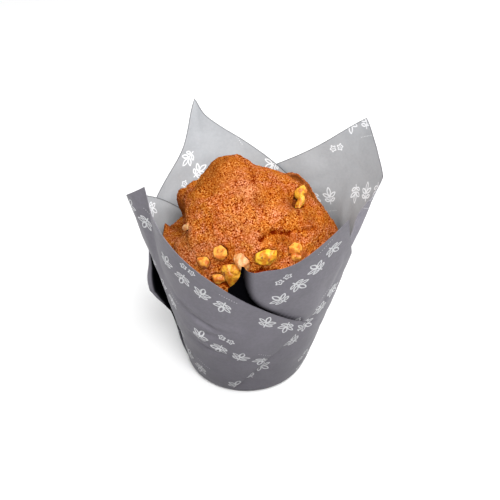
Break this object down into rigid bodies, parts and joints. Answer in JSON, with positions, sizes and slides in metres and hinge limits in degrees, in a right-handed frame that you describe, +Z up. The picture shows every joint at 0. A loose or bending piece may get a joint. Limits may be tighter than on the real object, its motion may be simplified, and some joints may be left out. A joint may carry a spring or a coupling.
{
  "type": "muffin",
  "caption": "Domed muffin with chopped walnuts on its crown, baked in a tulip case folded from one square of printed greaseproof paper.",
  "frame": {"origin": "The middle of the underside of the paper case's round base, on the surface the muffin stands on.", "axes": "+Z is up along the axis of the case. -Y is the front, where the wide pleat of the case lies. +X is to the right seen from the front."},
  "size_m": [0.0936, 0.0876, 0.0961],
  "materials": {
    "paper": "matt greaseproof paper, dark grey outside with a thin white pattern, pale grey inside",
    "crumb": "rough open baked crumb, golden to reddish brown, with a faint oily sheen",
    "walnut": "chopped toasted walnut, slightly glossy"
  },
  "bodies": {
    "root": {"paper_case": "paper", "muffin": "crumb", "walnut_1": "walnut", "walnut_2": "walnut", "walnut_3": "walnut", "walnut_4": "walnut", "walnut_5": "walnut", "walnut_6": "walnut", "walnut_7": "walnut", "walnut_8": "walnut", "walnut_9": "walnut", "walnut_10": "walnut", "walnut_11": "walnut", "walnut_12": "walnut"}
  },
  "joints": []
}
